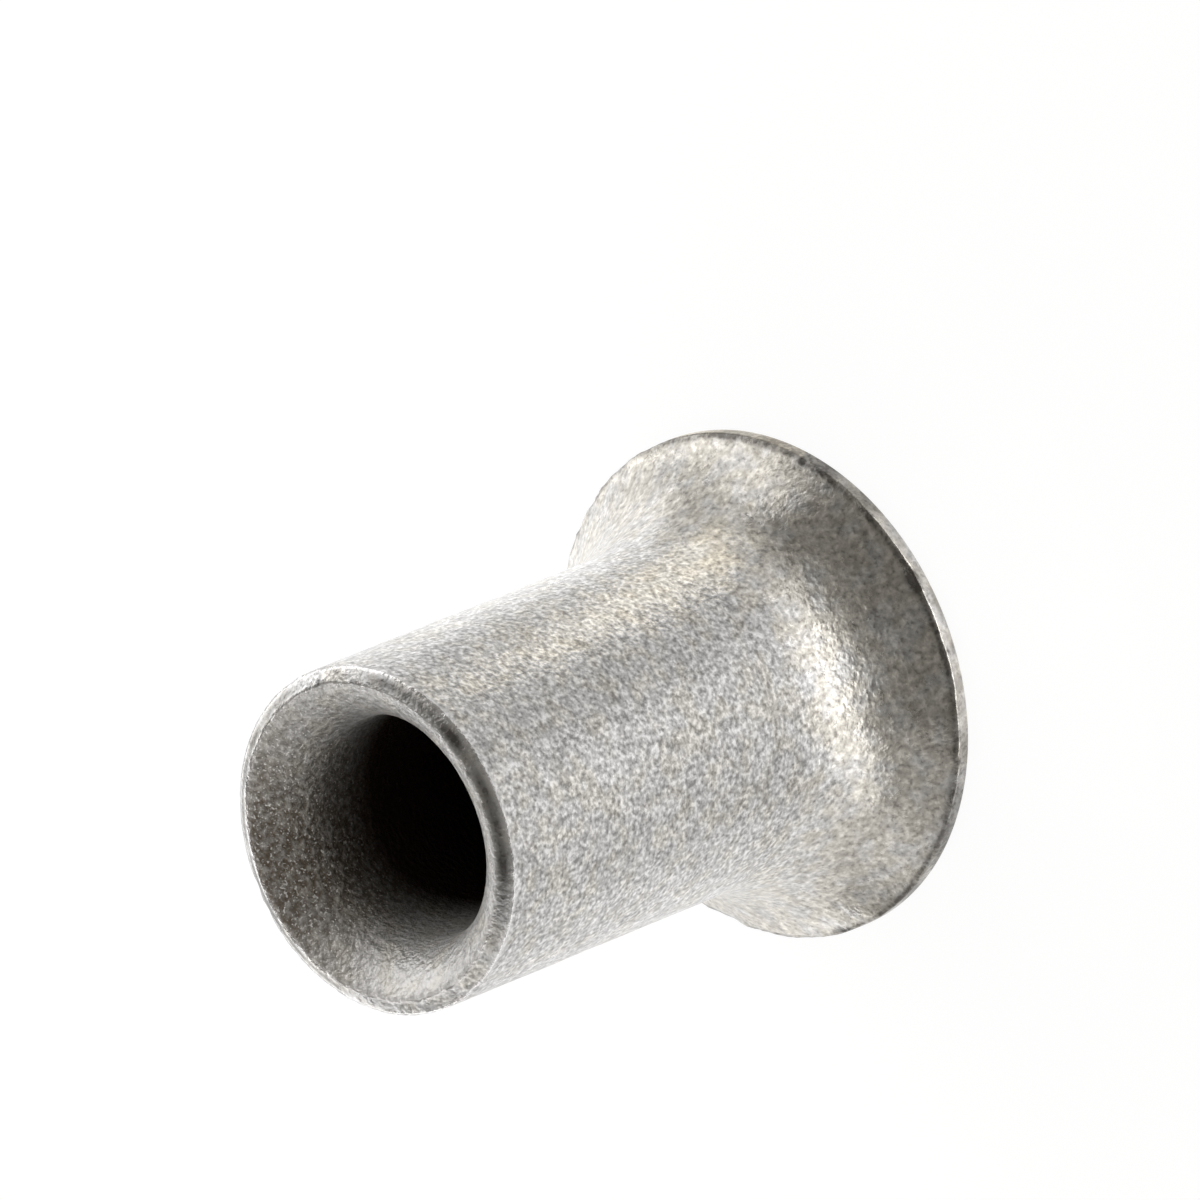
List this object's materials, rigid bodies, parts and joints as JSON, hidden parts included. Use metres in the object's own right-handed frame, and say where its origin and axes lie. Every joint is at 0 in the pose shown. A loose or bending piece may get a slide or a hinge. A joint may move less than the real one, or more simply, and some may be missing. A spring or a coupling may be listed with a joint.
{
  "type": "self-piercing rivet",
  "caption": "Round rivet with a flat, trumpet-flared countersunk head and a hollow leg with a rolled mouth, pressed into stacked sheets to lock them together.",
  "frame": {"origin": "middle of the flat head face, on the rivet's axis", "axes": "+Z along the axis from the head face to the open end of the leg; X and Y across it, with no preferred direction"},
  "size_m": [0.0078, 0.0078, 0.009],
  "materials": {
    "plated_steel": "dull silver-grey plating with a fine all-over grain"
  },
  "bodies": {
    "root": {"rivet": "plated_steel"}
  },
  "joints": []
}
